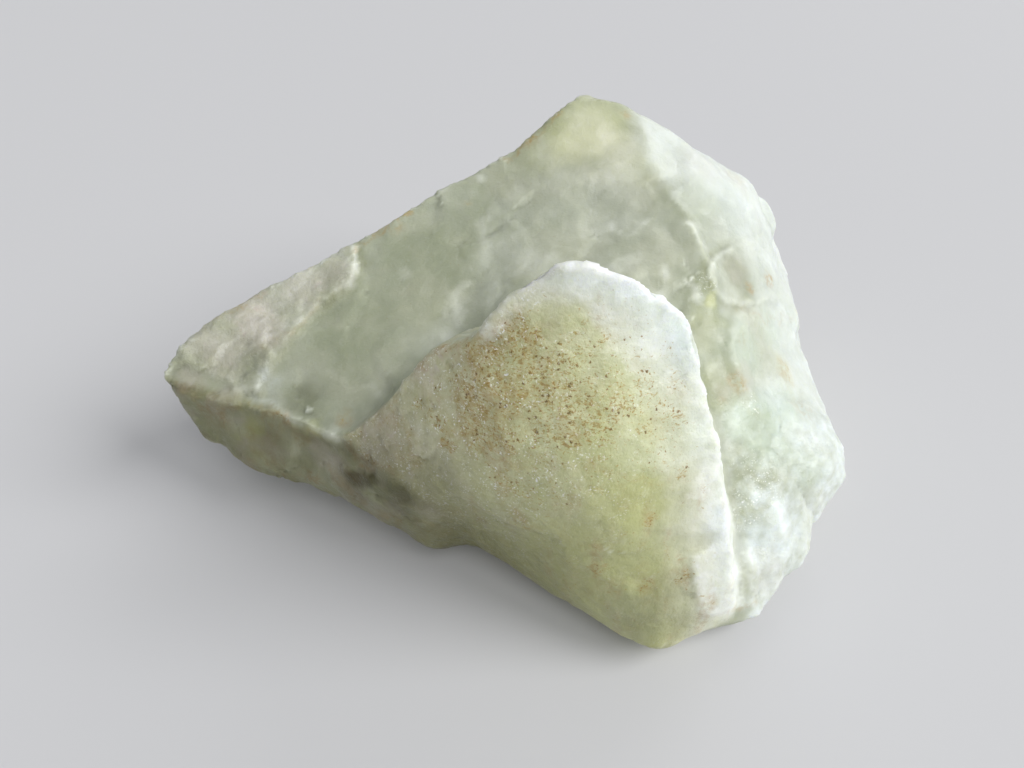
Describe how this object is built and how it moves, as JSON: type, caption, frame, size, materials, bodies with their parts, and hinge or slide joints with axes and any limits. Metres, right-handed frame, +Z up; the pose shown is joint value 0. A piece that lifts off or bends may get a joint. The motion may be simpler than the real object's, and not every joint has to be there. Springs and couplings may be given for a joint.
{
  "type": "raw aquamarine",
  "caption": "Rough broken piece of cloudy pale green beryl with a tall tooth in front, a long slope behind and a flat cleaved underside to rest on.",
  "frame": {"origin": "middle of the stone's box, on the plane of its flat underside", "axes": "+X along the longest extent, away from the pointed tip; +Y from the broad granular face to the apex; +Z up"},
  "size_m": [0.067, 0.0542, 0.0362],
  "materials": {
    "aquamarine": "satin"
  },
  "bodies": {
    "root": {"aquamarine": "aquamarine"}
  },
  "joints": []
}
